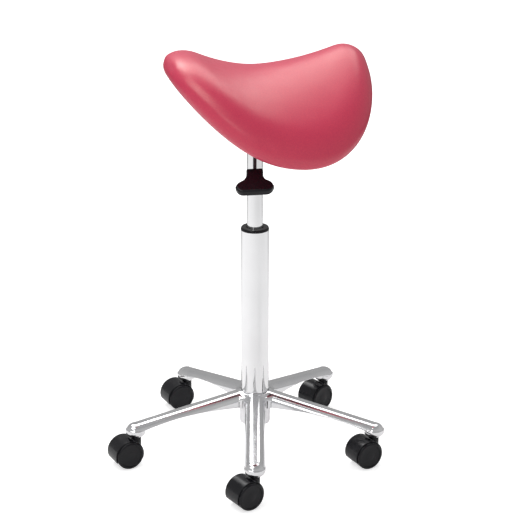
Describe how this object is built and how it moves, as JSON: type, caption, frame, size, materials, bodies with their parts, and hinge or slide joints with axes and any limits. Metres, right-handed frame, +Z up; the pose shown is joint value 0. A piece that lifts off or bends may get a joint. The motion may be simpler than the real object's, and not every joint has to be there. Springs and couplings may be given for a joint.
{
  "type": "dentist stool",
  "caption": "Height-adjustable saddle stool: padded saddle on a gas lift and column, with a release lever and a star base on hooded twin-wheel casters.",
  "frame": {"origin": "on the floor, on the axis of the column", "axes": "+X towards the front of the saddle, +Y towards the sitter's left, +Z up"},
  "size_m": [0.4868, 0.4849, 0.7429],
  "materials": {
    "polished_aluminium": "polished casting",
    "chrome": "bright plated",
    "steel": "zinc plated or ground",
    "painted_steel": "black powder coat",
    "brass": "turned",
    "black_plastic": "moulded, slight sheen",
    "rubber": "moulded",
    "red_vinyl": "smooth upholstery vinyl with a fine grain",
    "foam": "moulded polyurethane foam",
    "plywood": "moulded plywood",
    "black_cloth": "non-woven lining cloth"
  },
  "bodies": {
    "base": {"base_star": "polished_aluminium", "column_tube": "chrome", "guide_bush": "black_plastic", "lower_race": "steel", "caster_stems": "steel", "grip_rings": "steel"},
    "bearing": {"bearing_cage": "brass", "bearing_balls": "steel"},
    "rod": {"piston_rod": "steel", "piston": "steel", "piston_seal": "rubber", "piston_nut": "steel", "upper_race": "steel", "rubber_buffer": "rubber", "buffer_washer": "steel", "clip_washer": "steel", "retaining_clip": "steel"},
    "seat": {"lift_cylinder": "chrome", "rod_guide": "black_plastic", "rod_seal": "rubber", "valve_body": "steel", "cone_socket": "painted_steel", "lever_housing": "painted_steel", "pivot_bracket": "painted_steel", "pivot_pin": "steel", "seat_plate": "painted_steel", "plate_bolts": "steel", "bolt_washers": "steel", "insert_nuts": "steel", "mounting_block": "plywood", "seat_pan": "plywood", "seat_foam": "foam", "seat_cover": "red_vinyl", "dust_cover": "black_cloth"},
    "release": {"release_pin": "steel"},
    "lever": {"lever_rod": "painted_steel", "lever_paddle": "black_plastic"},
    "caster_1": {"caster_1_hood": "black_plastic", "caster_1_axle": "steel"},
    "caster_1_left": {"caster_1_wheel_left": "black_plastic"},
    "caster_1_right": {"caster_1_wheel_right": "black_plastic"},
    "caster_2": {"caster_2_hood": "black_plastic", "caster_2_axle": "steel"},
    "caster_2_left": {"caster_2_wheel_left": "black_plastic"},
    "caster_2_right": {"caster_2_wheel_right": "black_plastic"},
    "caster_3": {"caster_3_hood": "black_plastic", "caster_3_axle": "steel"},
    "caster_3_left": {"caster_3_wheel_left": "black_plastic"},
    "caster_3_right": {"caster_3_wheel_right": "black_plastic"},
    "caster_4": {"caster_4_hood": "black_plastic", "caster_4_axle": "steel"},
    "caster_4_left": {"caster_4_wheel_left": "black_plastic"},
    "caster_4_right": {"caster_4_wheel_right": "black_plastic"},
    "caster_5": {"caster_5_hood": "black_plastic", "caster_5_axle": "steel"},
    "caster_5_left": {"caster_5_wheel_left": "black_plastic"},
    "caster_5_right": {"caster_5_wheel_right": "black_plastic"}
  },
  "joints": [
    {"name": "swivel", "type": "hinge", "parent": "base", "child": "rod", "pos_m": [0, 0, 0.1], "axis": [0, 0, 1], "continuous": true},
    {"name": "bearing_roll", "type": "hinge", "parent": "base", "child": "bearing", "pos_m": [0, 0, 0.07], "axis": [0, 0, 1], "continuous": true},
    {"name": "lift", "type": "slide", "parent": "rod", "child": "seat", "axis": [0, 0, 1], "range_m": [-0.14, 0.04]},
    {"name": "lever_tilt", "type": "hinge", "parent": "seat", "child": "lever", "pos_m": [-0.00416, -0.01956, 0.619], "axis": [-0.9781, 0.2079, 0], "range_deg": [0, 6]},
    {"name": "release_press", "type": "slide", "parent": "seat", "child": "release", "axis": [0, 0, 1], "range_m": [-0.0025, 0]},
    {"name": "caster_1_swivel", "type": "hinge", "parent": "base", "child": "caster_1", "pos_m": [-0.04657, -0.2191, 0.05], "axis": [0, 0, 1], "continuous": true},
    {"name": "caster_1_left_roll", "type": "hinge", "parent": "caster_1", "child": "caster_1_left", "pos_m": [-0.06604, -0.22697, 0.025], "axis": [0.3746, -0.9272, 0], "continuous": true},
    {"name": "caster_1_right_roll", "type": "hinge", "parent": "caster_1", "child": "caster_1_right", "pos_m": [-0.06604, -0.22697, 0.025], "axis": [0.3746, -0.9272, 0], "continuous": true},
    {"name": "caster_2_swivel", "type": "hinge", "parent": "base", "child": "caster_2", "pos_m": [0.19399, -0.112, 0.05], "axis": [0, 0, 1], "continuous": true},
    {"name": "caster_2_left_roll", "type": "hinge", "parent": "caster_2", "child": "caster_2_left", "pos_m": [0.17391, -0.11814, 0.025], "axis": [0.2924, -0.9563, 0], "continuous": true},
    {"name": "caster_2_right_roll", "type": "hinge", "parent": "caster_2", "child": "caster_2_right", "pos_m": [0.17391, -0.11814, 0.025], "axis": [0.2924, -0.9563, 0], "continuous": true},
    {"name": "caster_3_swivel", "type": "hinge", "parent": "base", "child": "caster_3", "pos_m": [0.16646, 0.14988, 0.05], "axis": [0, 0, 1], "continuous": true},
    {"name": "caster_3_left_roll", "type": "hinge", "parent": "caster_3", "child": "caster_3_left", "pos_m": [0.14828, 0.13939, 0.025], "axis": [0.5, -0.866, 0], "continuous": true},
    {"name": "caster_3_right_roll", "type": "hinge", "parent": "caster_3", "child": "caster_3_right", "pos_m": [0.14828, 0.13939, 0.025], "axis": [0.5, -0.866, 0], "continuous": true},
    {"name": "caster_4_swivel", "type": "hinge", "parent": "base", "child": "caster_4", "pos_m": [-0.09111, 0.20463, 0.05], "axis": [0, 0, 1], "continuous": true},
    {"name": "caster_4_left_roll", "type": "hinge", "parent": "caster_4", "child": "caster_4_left", "pos_m": [-0.11139, 0.1992, 0.025], "axis": [0.2588, -0.9659, 0], "continuous": true},
    {"name": "caster_4_right_roll", "type": "hinge", "parent": "caster_4", "child": "caster_4_right", "pos_m": [-0.11139, 0.1992, 0.025], "axis": [0.2588, -0.9659, 0], "continuous": true},
    {"name": "caster_5_swivel", "type": "hinge", "parent": "base", "child": "caster_5", "pos_m": [-0.22277, -0.02341, 0.05], "axis": [0, 0, 1], "continuous": true},
    {"name": "caster_5_left_roll", "type": "hinge", "parent": "caster_5", "child": "caster_5_left", "pos_m": [-0.24296, -0.0292, 0.025], "axis": [0.2756, -0.9613, 0], "continuous": true},
    {"name": "caster_5_right_roll", "type": "hinge", "parent": "caster_5", "child": "caster_5_right", "pos_m": [-0.24296, -0.0292, 0.025], "axis": [0.2756, -0.9613, 0], "continuous": true}
  ],
  "couplings": [
    {"joint": "bearing_roll", "follows": "swivel", "ratio": 0.5},
    {"joint": "release_press", "follows": "lever_tilt", "m_per_rad": -0.023}
  ]
}
